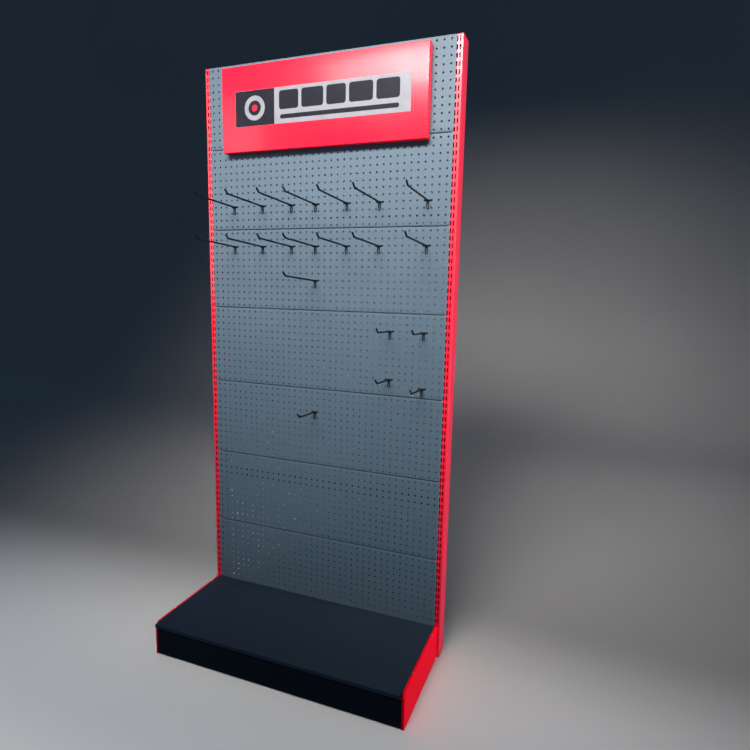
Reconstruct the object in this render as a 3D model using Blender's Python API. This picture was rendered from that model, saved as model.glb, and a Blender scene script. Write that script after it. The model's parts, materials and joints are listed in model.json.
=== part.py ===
"""Free-standing pegboard display stand.

Two slotted uprights carry seven perforated sheet-steel panels and stand on two hooked-in base
brackets with a base shelf and a kick plate between them. A shallow sign tray hangs on the top
panel, and wire hooks hang in the panel holes. Metres, +Z up, the front faces -Y, and the origin is
the middle of the footprint on the floor.
"""

import math

import bmesh
import bpy
from mathutils import Matrix, Vector

# Driving dimensions
STAND_HEIGHT = 2.190
STAND_WIDTH = 1.000
BASE_DEPTH = 0.400  # panel face to the front lip of the base shelf
BASE_HEIGHT = 0.130  # floor to the top of the base shelf
UPRIGHT_WIDTH = 0.030
UPRIGHT_DEPTH = 0.070
PANEL_COUNT = 7
PANEL_PITCH = 0.300
PANEL_WIDTH = 0.9568
PANEL_PROUD = 0.003  # panel face in front of the uprights' front faces
HOLE_PITCH = 0.025
HOLE_COLUMNS = 38
HOLE_ROWS = 12  # of each panel
HOLE_RADIUS = 0.003
SLOT_SPACING = 0.0095  # between the two columns of slots of an upright
SIGN_SIZE = (0.800, 0.030, 0.300)
SIGN_TOP_DROP = 0.020  # top of the panels to the top of the sign

# Stock sizes and clearances
GAP = 0.0003  # between pieces that touch
TUBE_WALL = 0.002
PANEL_SHEET = 0.001
SHELF_SHEET = 0.0015
SIGN_SHEET = 0.0012
BRACKET_SHEET = 0.002
FLOOR_CLEARANCE = 0.004  # under the uprights, brackets and kick plate
HOLE_SIDES = 8

# Places that follow from the driving dimensions
FRONT_Y = -(BASE_DEPTH + PANEL_PROUD + UPRIGHT_DEPTH) / 2
PANEL_Y = FRONT_Y + BASE_DEPTH
PANEL_BACK_Y = PANEL_Y + PANEL_SHEET
UPRIGHT_Y = PANEL_Y + PANEL_PROUD
REAR_Y = UPRIGHT_Y + UPRIGHT_DEPTH
UPRIGHT_X = STAND_WIDTH / 2 - UPRIGHT_WIDTH / 2
INNER_SLOT_X = UPRIGHT_X - SLOT_SPACING / 2
OUTER_SLOT_X = UPRIGHT_X + SLOT_SPACING / 2
UPRIGHT_INNER_X = STAND_WIDTH / 2 - UPRIGHT_WIDTH

# Slots of the uprights
SLOT_WIDTH = 0.004
SLOT_LENGTH = 0.016
SLOT_DROP = 0.002  # centre of a slot below the centre of its row of holes

# Panels
PANEL_SEAM = 0.0006
PANEL_FLANGE = 0.012
PANEL_FLANGE_X = UPRIGHT_INNER_X - 0.002
PANEL_LUG_ROWS = (1, 10)
PANEL_LUG_X = 0.4798  # outer face of a lug, stepped out from the panel's side hem

# Cross rails behind the panels
RAIL_HEIGHT = 0.034
RAIL_DEPTH = 0.028
RAIL_Y = PANEL_Y + PANEL_FLANGE + 0.0015
RAIL_LEVELS = {"upper": 1.6275, "lower": 0.6025, "bottom": 0.060}
BOLT_RADIUS = 0.004
BOLT_HEAD_RADIUS = 0.0075
BOLT_HEAD_HEIGHT = 0.0053
BOLT_LENGTH = 0.016

# Base
BRACKET_OUTER_X = OUTER_SLOT_X + 0.0017
BRACKET_INNER_X = 0.4815  # inner edge of the bracket's top flange
BRACKET_FRONT_Y = FRONT_Y + 0.012
BRACKET_CORNER = (0.014, 0.016)  # depth and height of the cut corner
BRACKET_SCREW_X = 0.4858
BRACKET_SCREW_YS = (PANEL_Y - 0.282, PANEL_Y - 0.056)
BRACKET_HOOK_SLOTS = (83, 84, 85)  # rows counted from the top of the stand
LEDGE_X = 0.463
FOOT_FLANGE_Z = 0.014
FOOT_FLANGE_X = 0.452
SHELF_X = 0.480
SHELF_LIP = 0.015
SHELF_REAR_Y = PANEL_Y - 0.0006
STIFFENER_SIZE = (0.900, 0.040, 0.018)
KICK_X = 0.4795
KICK_TOP = 0.112
KICK_BOTTOM = FLOOR_CLEARANCE + BRACKET_SHEET + GAP
KICK_DEPTH = 0.018

# Levelling feet
FOOT_X = 0.470
FOOT_PAD_RADIUS = 0.012
FOOT_PAD_HEIGHT = 0.008
STUD_RADIUS = 0.005
STUD_BORE = STUD_RADIUS + GAP
STUD_TOP = 0.045
NUT_RADIUS = 0.0095
NUT_HEIGHT = 0.008
FRONT_FOOT_Y = BRACKET_FRONT_Y + 0.034
REAR_FOOT_Y = UPRIGHT_Y + UPRIGHT_DEPTH / 2

# Sign
SIGN_BACK_Y = PANEL_Y - 0.003
SIGN_FRONT_Y = SIGN_BACK_Y - SIGN_SIZE[1]
SIGN_TOP = STAND_HEIGHT - SIGN_TOP_DROP
SIGN_BOTTOM = SIGN_TOP - SIGN_SIZE[2]
SIGN_LIP = 0.020
LABEL_SIZE = (0.680, 0.001, 0.124)
LABEL_CENTRE_Z = SIGN_TOP - 0.150
HANGER_COLUMNS = (4, 32)  # left hole of each hanger's pair
HANGER_ROW = 2
HANGER_WIDTH = 0.044
HANGER_SHEET = 0.0015
HANGER_REACH = 0.009
HANGER_HEIGHT = 0.036
HANGER_UPTURN = 0.009

# Wire hooks
HOOK_WIRE = 0.0018
ARM_WIRE = 0.0027
HOOK_STANDOFF = 0.0021  # panel face to the middle of the hook's cross wire
LEG_DROP = 0.0275
LEG_HALF_WIDTH = 0.0032
PRONG_DEPTH = 0.0055
PRONG_RISE = 0.009
WIRE_BEND = 0.0022
LONG_ARM = ((-0.2220, 0.0123), (-0.2370, 0.0255))  # (y, z) of the elbow and of the tip's end
SHORT_ARM = ((-0.1210, 0.0030), (-0.1395, 0.0180))
LONG_HOOKS = {
    20: (3, 8, 13, 17, 22, 27, 34),
    26: (3, 8, 13, 17, 22, 27, 34),
    31: (17,),
}  # row from the top of the stand: left hole of each hook's pair
SHORT_HOOKS = {38: (29, 34), 45: (29,), 46: (34,), 51: (17,)}


def column_x(column):
    return HOLE_PITCH * (column - (HOLE_COLUMNS - 1) / 2)


def row_z(row):
    return STAND_HEIGHT - HOLE_PITCH * (row + 0.5)


def slot_z(row):
    return row_z(row) - SLOT_DROP


# Scene, materials and collections


def clear_scene():
    for obj in list(bpy.data.objects):
        bpy.data.objects.remove(obj, do_unlink=True)


def new_collection(name, hidden=False):
    collection = bpy.data.collections.new(name)
    bpy.context.scene.collection.children.link(collection)
    collection.hide_render = hidden
    return collection


def new_material(name, colour, roughness, metallic=0.0):
    material = bpy.data.materials.new(name)
    material.use_nodes = True
    shader = material.node_tree.nodes["Principled BSDF"]
    shader.inputs["Base Color"].default_value = (*colour, 1.0)
    shader.inputs["Roughness"].default_value = roughness
    shader.inputs["Metallic"].default_value = metallic
    material.diffuse_color = (*colour, 1.0)
    return material


clear_scene()
STAND = new_collection("pegboard_display_stand")
HELPERS = new_collection("cutters", hidden=True)
RED = new_material("red_powder_coat", (0.80, 0.012, 0.035), 0.30)
SLATE = new_material("slate_powder_coat", (0.105, 0.135, 0.165), 0.42)
BLACK = new_material("black_powder_coat", (0.012, 0.014, 0.018), 0.38)
WIRE_BLACK = new_material("black_wire_coat", (0.010, 0.012, 0.016), 0.35)
ZINC = new_material("zinc_plated_steel", (0.62, 0.62, 0.60), 0.35, 1.0)
NYLON = new_material("black_nylon", (0.02, 0.02, 0.02), 0.55)
RED_PLASTIC = new_material("red_plastic", (0.72, 0.012, 0.035), 0.40)
PRINT = new_material("printed_label", (0.78, 0.76, 0.82), 0.40)


# Solids


def new_object(name, mesh, collection=None):
    obj = bpy.data.objects.new(name, mesh)
    (collection or HELPERS).objects.link(obj)
    if collection is None:
        obj.hide_render = True
        obj.display_type = "WIRE"
    return obj


def box(low, high):
    """A box between two corners, as a helper object."""
    low, high = Vector(low), Vector(high)
    mesh = bpy.data.meshes.new("box")
    solid = bmesh.new()
    bmesh.ops.create_cube(solid, size=1.0)
    size = Matrix.Diagonal((*(high - low), 1.0))
    bmesh.ops.transform(solid, matrix=Matrix.Translation((low + high) / 2) @ size, verts=solid.verts)
    solid.to_mesh(mesh)
    solid.free()
    return new_object("box", mesh)


def rod(start, end, radius, sides):
    """A round or many-sided bar from start to end, as a helper object."""
    start, end = Vector(start), Vector(end)
    along = end - start
    mesh = bpy.data.meshes.new("rod")
    solid = bmesh.new()
    bmesh.ops.create_cone(
        solid, cap_ends=True, segments=sides, radius1=radius, radius2=radius, depth=along.length
    )
    turn = along.to_track_quat("Z", "Y").to_matrix().to_4x4()
    bmesh.ops.transform(solid, matrix=Matrix.Translation((start + end) / 2) @ turn, verts=solid.verts)
    solid.to_mesh(mesh)
    solid.free()
    return new_object("rod", mesh)


def mesh_of_curve(curve):
    """The curve's evaluated solid with its caps welded on, as a helper object."""
    guide = new_object("guide", curve)
    bpy.context.view_layer.update()
    evaluated = guide.evaluated_get(bpy.context.evaluated_depsgraph_get())
    mesh = bpy.data.meshes.new_from_object(evaluated)
    bpy.data.objects.remove(guide, do_unlink=True)
    solid = bmesh.new()
    solid.from_mesh(mesh)
    bmesh.ops.remove_doubles(solid, verts=solid.verts, dist=1e-6)
    bmesh.ops.recalc_face_normals(solid, faces=solid.faces)
    solid.to_mesh(mesh)
    solid.free()
    return new_object("shape", mesh)


def side_plate(outline, low_x, high_x):
    """A flat plate across X, from its outline of (y, z) points, as a helper object."""
    curve = bpy.data.curves.new("outline", "CURVE")
    curve.dimensions = "2D"
    curve.fill_mode = "BOTH"
    curve.extrude = (high_x - low_x) / 2
    spline = curve.splines.new("POLY")
    spline.points.add(len(outline) - 1)
    for point, (y, z) in zip(spline.points, outline):
        point.co = (y, z, 0.0, 1.0)
    spline.use_cyclic_u = True
    plate = mesh_of_curve(curve)
    to_world = Matrix(((0, 0, 1, (low_x + high_x) / 2), (1, 0, 0, 0), (0, 1, 0, 0), (0, 0, 0, 1)))
    plate.data.transform(to_world)
    return plate


def wire(points, radius, resolution):
    """A round wire along the points, as a helper object."""
    curve = bpy.data.curves.new("wire", "CURVE")
    curve.dimensions = "3D"
    curve.bevel_depth = radius
    curve.bevel_resolution = resolution
    curve.use_fill_caps = True
    spline = curve.splines.new("POLY")
    spline.points.add(len(points) - 1)
    for point, place in zip(spline.points, points):
        point.co = (*place, 1.0)
    return mesh_of_curve(curve)


def bent(corners, radius, steps):
    """The points of a bent wire: straight runs between the corners, with an arc at each one."""
    points = [Vector(corners[0])]
    for before, corner, after in zip(corners, corners[1:], corners[2:]):
        corner = Vector(corner)
        towards = (Vector(before) - corner).normalized()
        away = (Vector(after) - corner).normalized()
        half = towards.angle(away) / 2
        centre = corner + (towards + away).normalized() * radius / math.sin(half)
        first = (corner + towards * radius / math.tan(half) - centre).normalized()
        last = (corner + away * radius / math.tan(half) - centre).normalized()
        points += [centre + radius * first.slerp(last, step / steps) for step in range(steps + 1)]
    return points + [Vector(corners[-1])]


def boolean(obj, others, operation):
    """Applies one exact Boolean of obj with all the helper objects, and removes them."""
    group = bpy.data.collections.new("operands")
    for other in others:
        group.objects.link(other)
    modifier = obj.modifiers.new(operation.lower(), "BOOLEAN")
    modifier.operation = operation
    modifier.operand_type = "COLLECTION"
    modifier.collection = group
    modifier.solver = "EXACT"
    bpy.context.view_layer.update()
    evaluated = obj.evaluated_get(bpy.context.evaluated_depsgraph_get())
    mesh = bpy.data.meshes.new_from_object(evaluated)
    obj.modifiers.clear()
    obj.data = mesh
    for other in others:
        bpy.data.objects.remove(other, do_unlink=True)
    bpy.data.collections.remove(group)


def place(obj, name, material, location=(0, 0, 0), smooth=False):
    """Makes a node of obj: named, with its material, and its origin at location."""
    obj.name = obj.data.name = name
    HELPERS.objects.unlink(obj)
    STAND.objects.link(obj)
    obj.hide_render = False
    obj.display_type = "TEXTURED"
    obj.data.transform(Matrix.Translation(-Vector(location)))
    obj.location = location
    obj.data.materials.clear()
    obj.data.materials.append(material)
    if smooth:
        obj.data.shade_smooth()
        obj.data.set_sharp_from_angle(angle=math.radians(50))
    return obj


def node(name, material, solids, cuts=(), location=(0, 0, 0), smooth=False):
    """One sub-part: the union of the solids less the cuts."""
    body, *rest = solids
    if rest:
        boolean(body, rest, "UNION")
    if cuts:
        boolean(body, cuts, "DIFFERENCE")
    return place(body, name, material, location, smooth)


def lug(side, x, slot, sheet, start_y):
    """A hook of sheet metal that enters a slot of an upright and drops behind its front wall."""
    back = UPRIGHT_Y + TUBE_WALL + GAP
    rest = slot_z(slot) - SLOT_LENGTH / 2 + GAP
    top = slot_z(slot) + 0.006
    outline = [
        (start_y, top),
        (back + 0.003, top),
        (back + 0.003, rest - 0.0045),
        (back, rest - 0.0045),
        (back, rest),
        (start_y, rest),
    ]
    low, high = sorted((side * x, side * (x - sheet)))
    return side_plate(outline, low, high)


# Uprights, with their slots where a lug of a panel or bracket enters, and their caps


def used_slots():
    """(x, row) of each slot that a panel's or a bracket's lug enters."""
    panels = [
        (INNER_SLOT_X, panel * HOLE_ROWS + row)
        for panel in range(PANEL_COUNT)
        for row in PANEL_LUG_ROWS
    ]
    return panels + [(OUTER_SLOT_X, row) for row in BRACKET_HOOK_SLOTS]


def make_upright(name, side):
    top = STAND_HEIGHT - 0.003
    half = UPRIGHT_WIDTH / 2
    x = side * UPRIGHT_X
    tube = box((x - half, UPRIGHT_Y, FLOOR_CLEARANCE), (x + half, REAR_Y, top))
    bore_low = (x - half + TUBE_WALL, UPRIGHT_Y + TUBE_WALL, FOOT_FLANGE_Z + NUT_HEIGHT)
    bore_high = (x + half - TUBE_WALL, REAR_Y - TUBE_WALL, top + 0.01)
    cuts = [box(bore_low, bore_high)]
    pocket_low = (bore_low[0], bore_low[1], 0.0)
    pocket_high = (bore_high[0], bore_high[1], FOOT_FLANGE_Z)
    cuts.append(box(pocket_low, pocket_high))
    cuts.append(rod((x, REAR_FOOT_Y, 0.0), (x, REAR_FOOT_Y, 0.030), STUD_BORE, 12))
    for slot_x, row in used_slots():
        low = (side * slot_x - SLOT_WIDTH / 2, UPRIGHT_Y - 0.005, slot_z(row) - SLOT_LENGTH / 2)
        high = (side * slot_x + SLOT_WIDTH / 2, UPRIGHT_Y + 0.005, slot_z(row) + SLOT_LENGTH / 2)
        cuts.append(box(low, high))
    for level in RAIL_LEVELS.values():
        y = RAIL_Y + RAIL_DEPTH / 2
        inner = side * UPRIGHT_INNER_X
        cuts.append(
            rod((inner - 0.006, y, level), (inner + 0.006, y, level), BOLT_RADIUS + GAP, HOLE_SIDES)
        )
    return node(name, RED, [tube], cuts)


def make_cap(name, side):
    half = UPRIGHT_WIDTH / 2
    x = side * UPRIGHT_X
    seat = STAND_HEIGHT - 0.003 + GAP
    plate = box((x - half, UPRIGHT_Y, seat), (x + half, REAR_Y, STAND_HEIGHT))
    inset = TUBE_WALL + GAP
    plug = box(
        (x - half + inset, UPRIGHT_Y + inset + 0.0035, seat - 0.012),
        (x + half - inset, REAR_Y - inset, seat + 0.001),
    )
    return node(name, RED_PLASTIC, [plate, plug])


# Panels


def holes_in(panel):
    """(column, row) of each hole of a panel that a hook or a sign hanger uses."""
    first = panel * HOLE_ROWS
    pairs = [(column, HANGER_ROW) for column in HANGER_COLUMNS]
    for layout in (LONG_HOOKS, SHORT_HOOKS):
        pairs += [(column, row) for row, columns in layout.items() for column in columns]
    pairs = [(column, row) for column, row in pairs if first <= row < first + HOLE_ROWS]
    return [(column + step, row) for column, row in pairs for step in (0, 1)]


def make_panel(panel):
    top = STAND_HEIGHT - panel * PANEL_PITCH
    bottom = top - PANEL_PITCH + PANEL_SEAM
    half = PANEL_WIDTH / 2
    skin = box((-half, PANEL_Y, bottom), (half, PANEL_BACK_Y, top))
    flange_y = PANEL_Y + PANEL_FLANGE
    solids = [skin]
    for low_z in (bottom, top - PANEL_SHEET):
        high_z = low_z + PANEL_SHEET
        solids.append(box((-PANEL_FLANGE_X, PANEL_Y, low_z), (PANEL_FLANGE_X, flange_y, high_z)))
    for side in (-1, 1):
        low_x, high_x = sorted((side * half, side * (half - PANEL_SHEET)))
        solids.append(box((low_x, PANEL_Y, bottom), (high_x, UPRIGHT_Y - GAP, top)))
        for row in PANEL_LUG_ROWS:
            slot = panel * HOLE_ROWS + row
            solids.append(lug(side, PANEL_LUG_X, slot, PANEL_SHEET, PANEL_Y + 0.0015))
            step_low, step_high = sorted((side * (half - PANEL_SHEET / 2), side * PANEL_LUG_X))
            rest = slot_z(slot) - SLOT_LENGTH / 2 + GAP
            low = (step_low, PANEL_Y + PANEL_SHEET / 2, rest + 0.0005)
            high = (step_high, UPRIGHT_Y - GAP - 0.0002, slot_z(slot) + 0.0055)
            solids.append(box(low, high))
    cuts = [
        rod(
            (column_x(column), PANEL_Y - 0.005, row_z(row)),
            (column_x(column), PANEL_Y + 0.005, row_z(row)),
            HOLE_RADIUS,
            HOLE_SIDES,
        )
        for column, row in holes_in(panel)
    ]
    return node(f"back_panel_{panel + 1}", SLATE, solids, cuts)


# Cross rails and their bolts


def make_rail(name, level):
    """A channel open to the rear, with an end plate at each upright."""
    end_x = UPRIGHT_INNER_X - GAP
    low, high = level - RAIL_HEIGHT / 2, level + RAIL_HEIGHT / 2
    rear = RAIL_Y + RAIL_DEPTH
    outer = box((-end_x, RAIL_Y, low), (end_x, rear, high))
    wall = TUBE_WALL
    trough = box((-end_x + wall, RAIL_Y + wall, low + wall), (end_x - wall, rear + 0.01, high - wall))
    bolt_y = RAIL_Y + RAIL_DEPTH / 2
    bolt_hole = rod(
        (-end_x - 0.01, bolt_y, level), (end_x + 0.01, bolt_y, level), BOLT_RADIUS + GAP, HOLE_SIDES
    )
    return node(name, BLACK, [outer], [trough, bolt_hole])


def make_bolt(name, side, level):
    y = RAIL_Y + RAIL_DEPTH / 2
    head_x = UPRIGHT_INNER_X - TUBE_WALL - 2 * GAP
    head = rod(
        (side * head_x, y, level), (side * (head_x - BOLT_HEAD_HEIGHT), y, level), BOLT_HEAD_RADIUS, 6
    )
    shank = rod(
        (side * (head_x - 0.001), y, level), (side * (head_x + BOLT_LENGTH), y, level), BOLT_RADIUS, 10
    )
    return node(name, ZINC, [head, shank])


# Base


def make_bracket(name, side):
    """A side plate with flanges along its top, cut corner, front and foot, and a ledge for the shelf."""
    rear = UPRIGHT_Y - GAP
    plate_inner = BRACKET_OUTER_X - BRACKET_SHEET
    flange_front = BRACKET_FRONT_Y + BRACKET_CORNER[0]
    corner_z = BASE_HEIGHT - BRACKET_CORNER[1]
    outline = [
        (BRACKET_FRONT_Y, FLOOR_CLEARANCE),
        (rear, FLOOR_CLEARANCE),
        (rear, BASE_HEIGHT),
        (flange_front, BASE_HEIGHT),
        (BRACKET_FRONT_Y, corner_z),
    ]
    low_x, high_x = sorted((side * plate_inner, side * BRACKET_OUTER_X))

    def across(x_from, x_to, low_yz, high_yz):
        low, high = sorted((side * x_from, side * x_to))
        return box((low, *low_yz), (high, *high_yz))

    sheet = SHELF_SHEET
    ledge_top = BASE_HEIGHT - sheet - GAP
    ledge_middle = ledge_top - sheet / 2
    plate_middle = BRACKET_OUTER_X - BRACKET_SHEET / 2
    fold_middle = BRACKET_INNER_X + sheet / 2
    front_middle = BRACKET_FRONT_Y + BRACKET_SHEET / 2
    flange_rear = rear - 0.001
    foot_flange_front = BRACKET_FRONT_Y + KICK_DEPTH + 0.0005
    slope_low, slope_high = sorted((side * (BRACKET_INNER_X + 0.0002), side * (plate_middle - 0.0002)))
    slope = [
        (flange_front + 0.0010, BASE_HEIGHT - 0.0004),
        (BRACKET_FRONT_Y + 0.0003, corner_z - 0.0012),
        (BRACKET_FRONT_Y + 0.0017, corner_z - 0.0025),
        (flange_front + 0.0025, BASE_HEIGHT - 0.0013),
    ]
    solids = [
        side_plate(outline, low_x, high_x),
        side_plate(slope, slope_low, slope_high),
        across(
            BRACKET_INNER_X,
            plate_middle,
            (flange_front, BASE_HEIGHT - sheet),
            (flange_rear, BASE_HEIGHT),
        ),
        across(
            BRACKET_INNER_X,
            BRACKET_INNER_X + sheet,
            (flange_front + 0.001, ledge_middle),
            (flange_rear - 0.004, BASE_HEIGHT - sheet / 2),
        ),
        across(
            LEDGE_X,
            fold_middle,
            (flange_front + 0.002, ledge_top - sheet),
            (flange_rear - 0.006, ledge_top),
        ),
        across(
            BRACKET_INNER_X,
            plate_middle,
            (BRACKET_FRONT_Y, FLOOR_CLEARANCE + 0.0005),
            (BRACKET_FRONT_Y + BRACKET_SHEET, corner_z - 0.0005),
        ),
        across(
            FOOT_FLANGE_X,
            plate_middle,
            (foot_flange_front, FOOT_FLANGE_Z),
            (flange_rear, FOOT_FLANGE_Z + BRACKET_SHEET),
        ),
        across(
            FOOT_FLANGE_X,
            plate_middle,
            (front_middle, FLOOR_CLEARANCE + 0.0010),
            (BRACKET_FRONT_Y + KICK_DEPTH, FLOOR_CLEARANCE + BRACKET_SHEET),
        ),
        rod(
            (side * FOOT_X, FRONT_FOOT_Y, FOOT_FLANGE_Z + BRACKET_SHEET / 2),
            (side * FOOT_X, FRONT_FOOT_Y, FOOT_FLANGE_Z + NUT_HEIGHT),
            NUT_RADIUS,
            6,
        ),
    ]
    for row in BRACKET_HOOK_SLOTS:
        solids.append(lug(side, BRACKET_OUTER_X, row, BRACKET_SHEET, rear - 0.002))
    cuts = [rod((side * FOOT_X, FRONT_FOOT_Y, 0), (side * FOOT_X, FRONT_FOOT_Y, 0.05), STUD_BORE, 12)]
    for y in BRACKET_SCREW_YS:
        x = side * BRACKET_SCREW_X
        cuts.append(rod((x, y, BASE_HEIGHT - 0.004), (x, y, BASE_HEIGHT + 0.004), 0.0020, HOLE_SIDES))
    return node(name, RED, solids, cuts)


def make_screw(name, x, y):
    """A pan-head screw in the bracket's top flange."""
    seat = BASE_HEIGHT + GAP
    head = rod((x, y, seat), (x, y, seat + 0.0012), 0.0034, 10)
    shank = rod((x, y, seat - 0.008), (x, y, seat + 0.0005), 0.0016, 8)
    return node(name, ZINC, [head, shank])


def make_foot(name, x, y):
    """A round pad with a threaded stud, which screws up and down in the frame."""
    pad = rod((x, y, 0), (x, y, FOOT_PAD_HEIGHT), FOOT_PAD_RADIUS, 20)
    stud = rod((x, y, FOOT_PAD_HEIGHT - 0.001), (x, y, STUD_TOP), STUD_RADIUS, 12)
    return node(name, ZINC, [pad, stud], location=(x, y, 0), smooth=True)


def make_shelf():
    """The base shelf: a flat deck with a folded front lip and a rear flange."""
    under = BASE_HEIGHT - SHELF_SHEET
    lip_bottom = BASE_HEIGHT - SHELF_LIP
    deck = box((-SHELF_X, FRONT_Y, under), (SHELF_X, SHELF_REAR_Y, BASE_HEIGHT))
    lip = box((-SHELF_X, FRONT_Y, lip_bottom), (SHELF_X, FRONT_Y + SHELF_SHEET, BASE_HEIGHT))
    fold = box((-SHELF_X, FRONT_Y, lip_bottom), (SHELF_X, FRONT_Y + 0.012, lip_bottom + SHELF_SHEET))
    rear_x = LEDGE_X - 0.003
    flange_low = (-rear_x, SHELF_REAR_Y - SHELF_SHEET, under - 0.020)
    flange = box(flange_low, (rear_x, SHELF_REAR_Y, under + 0.001))
    return node("base_shelf", BLACK, [deck, lip, fold, flange])


def make_stiffener():
    """A channel under the middle of the base shelf."""
    length, depth, height = STIFFENER_SIZE
    middle_y = (FRONT_Y + SHELF_REAR_Y) / 2
    top = BASE_HEIGHT - SHELF_SHEET - GAP
    outer = box((-length / 2, middle_y - depth / 2, top - height), (length / 2, middle_y + depth / 2, top))
    wall = SHELF_SHEET
    trough = box(
        (-length, middle_y - depth / 2 + wall, top - height - 0.01),
        (length, middle_y + depth / 2 - wall, top - wall),
    )
    return node("shelf_stiffener", BLACK, [outer], [trough])


def make_kick():
    """The kick plate: a front skin with folded top, bottom and ends."""

    rear = BRACKET_FRONT_Y + KICK_DEPTH
    outer = box((-KICK_X, BRACKET_FRONT_Y, KICK_BOTTOM), (KICK_X, rear, KICK_TOP))
    wall = SIGN_SHEET
    hollow = box(
        (-KICK_X + wall, BRACKET_FRONT_Y + wall, KICK_BOTTOM + wall),
        (KICK_X - wall, rear + 0.01, KICK_TOP - wall),
    )
    return node("kick_plate", BLACK, [outer], [hollow])


# Sign


def make_sign():
    """A shallow tray, open at the back, with a lip round its rear edge to hang it by."""
    half = SIGN_SIZE[0] / 2
    wall = SIGN_SHEET
    outer = box((-half, SIGN_FRONT_Y, SIGN_BOTTOM), (half, SIGN_BACK_Y, SIGN_TOP))
    hollow = box(
        (-half + wall, SIGN_FRONT_Y + wall, SIGN_BOTTOM + wall),
        (half - wall, SIGN_BACK_Y - wall, SIGN_TOP - wall),
    )
    mouth = box(
        (-half + 0.016, SIGN_BACK_Y - 2 * wall, SIGN_BOTTOM + 0.016),
        (half - 0.016, SIGN_BACK_Y + 0.01, SIGN_TOP - wall - SIGN_LIP),
    )
    return node("sign_tray", RED, [outer], [hollow, mouth])


def make_label():
    width, sheet, height = LABEL_SIZE
    back = SIGN_FRONT_Y - GAP
    low = (-width / 2, back - sheet, LABEL_CENTRE_Z - height / 2)
    return node("sign_label", PRINT, [box(low, (width / 2, back, LABEL_CENTRE_Z + height / 2))])


def make_hanger(name, column):
    """A plate that hooks into two panel holes and holds the sign's lip in an upward channel."""
    x = column_x(column) + HOLE_PITCH / 2
    half = HANGER_WIDTH / 2
    floor_top = SIGN_TOP - SIGN_SHEET - SIGN_LIP - GAP
    face = PANEL_Y - GAP
    low_z = floor_top - HANGER_HEIGHT
    solids = [
        box((x - half, face - HANGER_SHEET, low_z), (x + half, face, floor_top)),
        box(
            (x - half, face - HANGER_REACH, floor_top - HANGER_SHEET),
            (x + half, face, floor_top),
        ),
        box(
            (x - half, face - HANGER_REACH, floor_top - HANGER_SHEET),
            (x + half, face - HANGER_REACH + HANGER_SHEET, floor_top + HANGER_UPTURN),
        ),
    ]
    z = row_z(HANGER_ROW)
    for side in (-1, 1):
        peg_x = x + side * HOLE_PITCH / 2
        low_x, high_x = peg_x - 0.0018, peg_x + 0.0018
        solids.append(box((low_x, face - 0.001, z - 0.0018), (high_x, face + 0.007, z + 0.0018)))
        solids.append(box((low_x, face + 0.0035, z - 0.0018), (high_x, face + 0.007, z + 0.009)))
    return node(name, ZINC, solids)


# Hooks


def hook_mesh(elbow, tip):
    """A wire hook about its hinge line: two prongs, a looped leg that rests on the panel, and an arm."""
    prong_x = HOLE_PITCH / 2
    front = -HOOK_STANDOFF
    half = [
        (-prong_x, PRONG_DEPTH, PRONG_RISE),
        (-prong_x, PRONG_DEPTH, 0.0),
        (-prong_x, front, 0.0),
        (-LEG_HALF_WIDTH, front, 0.0),
        (-LEG_HALF_WIDTH, front, -LEG_DROP + LEG_HALF_WIDTH),
    ]
    left = bent(half, WIRE_BEND, 2)
    loop = [
        Vector((LEG_HALF_WIDTH * math.cos(turn), front, -LEG_DROP + LEG_HALF_WIDTH * (1 + math.sin(turn))))
        for turn in (math.radians(225), math.radians(270), math.radians(315))
    ]
    right = [Vector((-point.x, point.y, point.z)) for point in reversed(left)]
    back = wire(left + loop + right, HOOK_WIRE, 1)
    corners = [(0.0, front - 0.0007, -0.001), (0.0, *elbow), (0.0, *tip)]
    arm = wire(bent(corners, 0.006, 2), ARM_WIRE, 2)
    boolean(back, [arm], "UNION")
    mesh = back.data
    bpy.data.objects.remove(back, do_unlink=True)
    mesh.transform(Matrix.Translation((0, -PANEL_SHEET / 2, 0)))
    mesh.materials.clear()
    mesh.materials.append(WIRE_BLACK)
    mesh.shade_smooth()
    mesh.set_sharp_from_angle(angle=math.radians(70))
    return mesh


def make_hooks(prefix, layout, mesh):
    """One object for each hook, sharing the mesh, with its origin on its hinge line in the panel."""
    places = [(column, row) for row, columns in layout.items() for column in columns]
    for number, (column, row) in enumerate(places, start=1):
        hook = new_object(f"{prefix}_{number:02d}", mesh, STAND)
        hook.location = (column_x(column) + HOLE_PITCH / 2, PANEL_Y + PANEL_SHEET / 2, row_z(row))


def main():
    for word, side in (("left", -1), ("right", 1)):
        make_upright(f"upright_{word}", side)
        make_cap(f"upright_cap_{word}", side)
        make_bracket(f"base_bracket_{word}", side)
        for end, y in zip(("front", "rear"), BRACKET_SCREW_YS):
            make_screw(f"bracket_screw_{end}_{word}", side * BRACKET_SCREW_X, y)
        make_foot(f"foot_front_{word}", side * FOOT_X, FRONT_FOOT_Y)
        make_foot(f"foot_rear_{word}", side * UPRIGHT_X, REAR_FOOT_Y)
        for level, height in RAIL_LEVELS.items():
            make_bolt(f"rail_bolt_{level}_{word}", side, height)
    for panel in range(PANEL_COUNT):
        make_panel(panel)
    for level, height in RAIL_LEVELS.items():
        make_rail(f"cross_rail_{level}", height)
    make_shelf()
    make_stiffener()
    make_kick()
    make_sign()
    make_label()
    for word, column in zip(("left", "right"), HANGER_COLUMNS):
        make_hanger(f"sign_hanger_{word}", column)
    make_hooks("long_hook", LONG_HOOKS, hook_mesh(*LONG_ARM))
    make_hooks("short_hook", SHORT_HOOKS, hook_mesh(*SHORT_ARM))


main()
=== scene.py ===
"""Looks of the pegboard display stand: panels, uprights, base, sign, wire hooks, light and camera."""

import json
import math

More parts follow.
